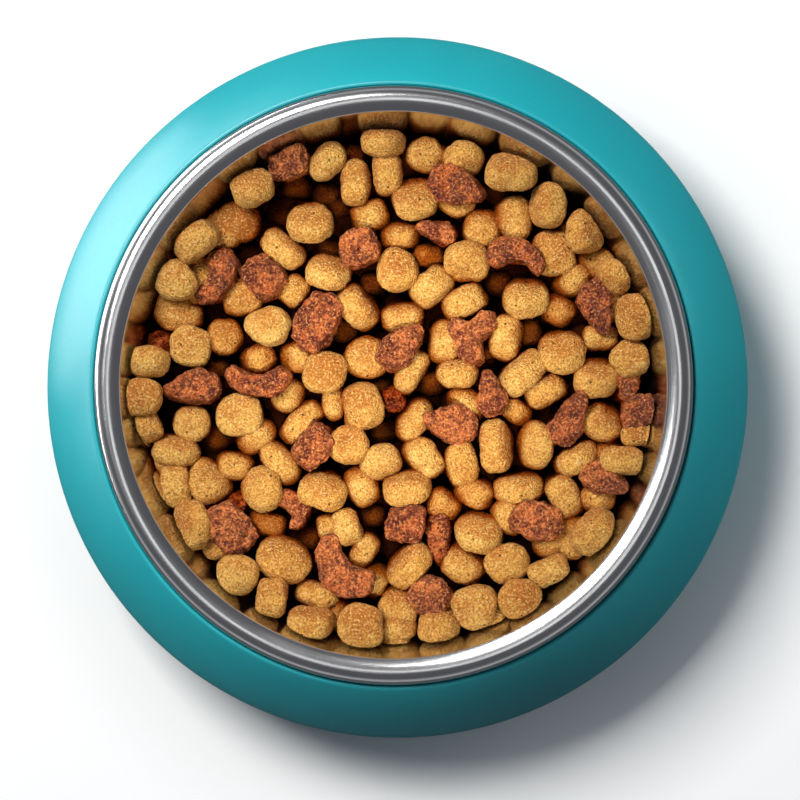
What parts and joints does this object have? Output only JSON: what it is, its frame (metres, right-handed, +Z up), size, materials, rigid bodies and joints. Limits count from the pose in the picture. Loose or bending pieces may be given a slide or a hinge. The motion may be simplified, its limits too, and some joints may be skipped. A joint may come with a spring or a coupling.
{
  "type": "pet food bowl",
  "caption": "Round pet food bowl: a flared plastic holder with a non-slip ring, a steel insert with a rolled rim, and dry kibble with meaty chunks filling it.",
  "frame": {"origin": "on the table, under the middle of the bowl", "axes": "+Z up out of the bowl's mouth; +X to the right and +Y away from the viewer as the kibble is laid out"},
  "size_m": [0.175, 0.175, 0.052],
  "materials": {
    "teal_plastic": "satin",
    "stainless_steel": "satin",
    "dark_rubber": "matte",
    "tan_kibble": "matte",
    "meaty_chunk": "matte"
  },
  "bodies": {
    "root": {"holder": "teal_plastic", "steel_bowl": "stainless_steel", "non_slip_ring": "dark_rubber", "kibble_bed": "tan_kibble", "meaty_chunk_01": "meaty_chunk", "meaty_chunk_02": "meaty_chunk", "meaty_chunk_03": "meaty_chunk", "meaty_chunk_04": "meaty_chunk", "meaty_chunk_05": "meaty_chunk", "meaty_chunk_06": "meaty_chunk", "meaty_chunk_07": "meaty_chunk", "meaty_chunk_08": "meaty_chunk", "meaty_chunk_09": "meaty_chunk", "meaty_chunk_10": "meaty_chunk", "meaty_chunk_11": "meaty_chunk", "meaty_chunk_12": "meaty_chunk", "meaty_chunk_13": "meaty_chunk", "meaty_chunk_14": "meaty_chunk", "meaty_chunk_15": "meaty_chunk", "meaty_chunk_16": "meaty_chunk", "meaty_chunk_17": "meaty_chunk", "meaty_chunk_18": "meaty_chunk", "meaty_chunk_19": "meaty_chunk", "meaty_chunk_20": "meaty_chunk", "meaty_chunk_21": "meaty_chunk", "meaty_chunk_22": "meaty_chunk", "meaty_chunk_23": "meaty_chunk", "meaty_chunk_24": "meaty_chunk", "meaty_chunk_25": "meaty_chunk", "meaty_chunk_26": "meaty_chunk", "meaty_chunk_27": "meaty_chunk", "meaty_chunk_28": "meaty_chunk", "meaty_chunk_29": "meaty_chunk", "meaty_chunk_30": "meaty_chunk"}
  },
  "joints": []
}
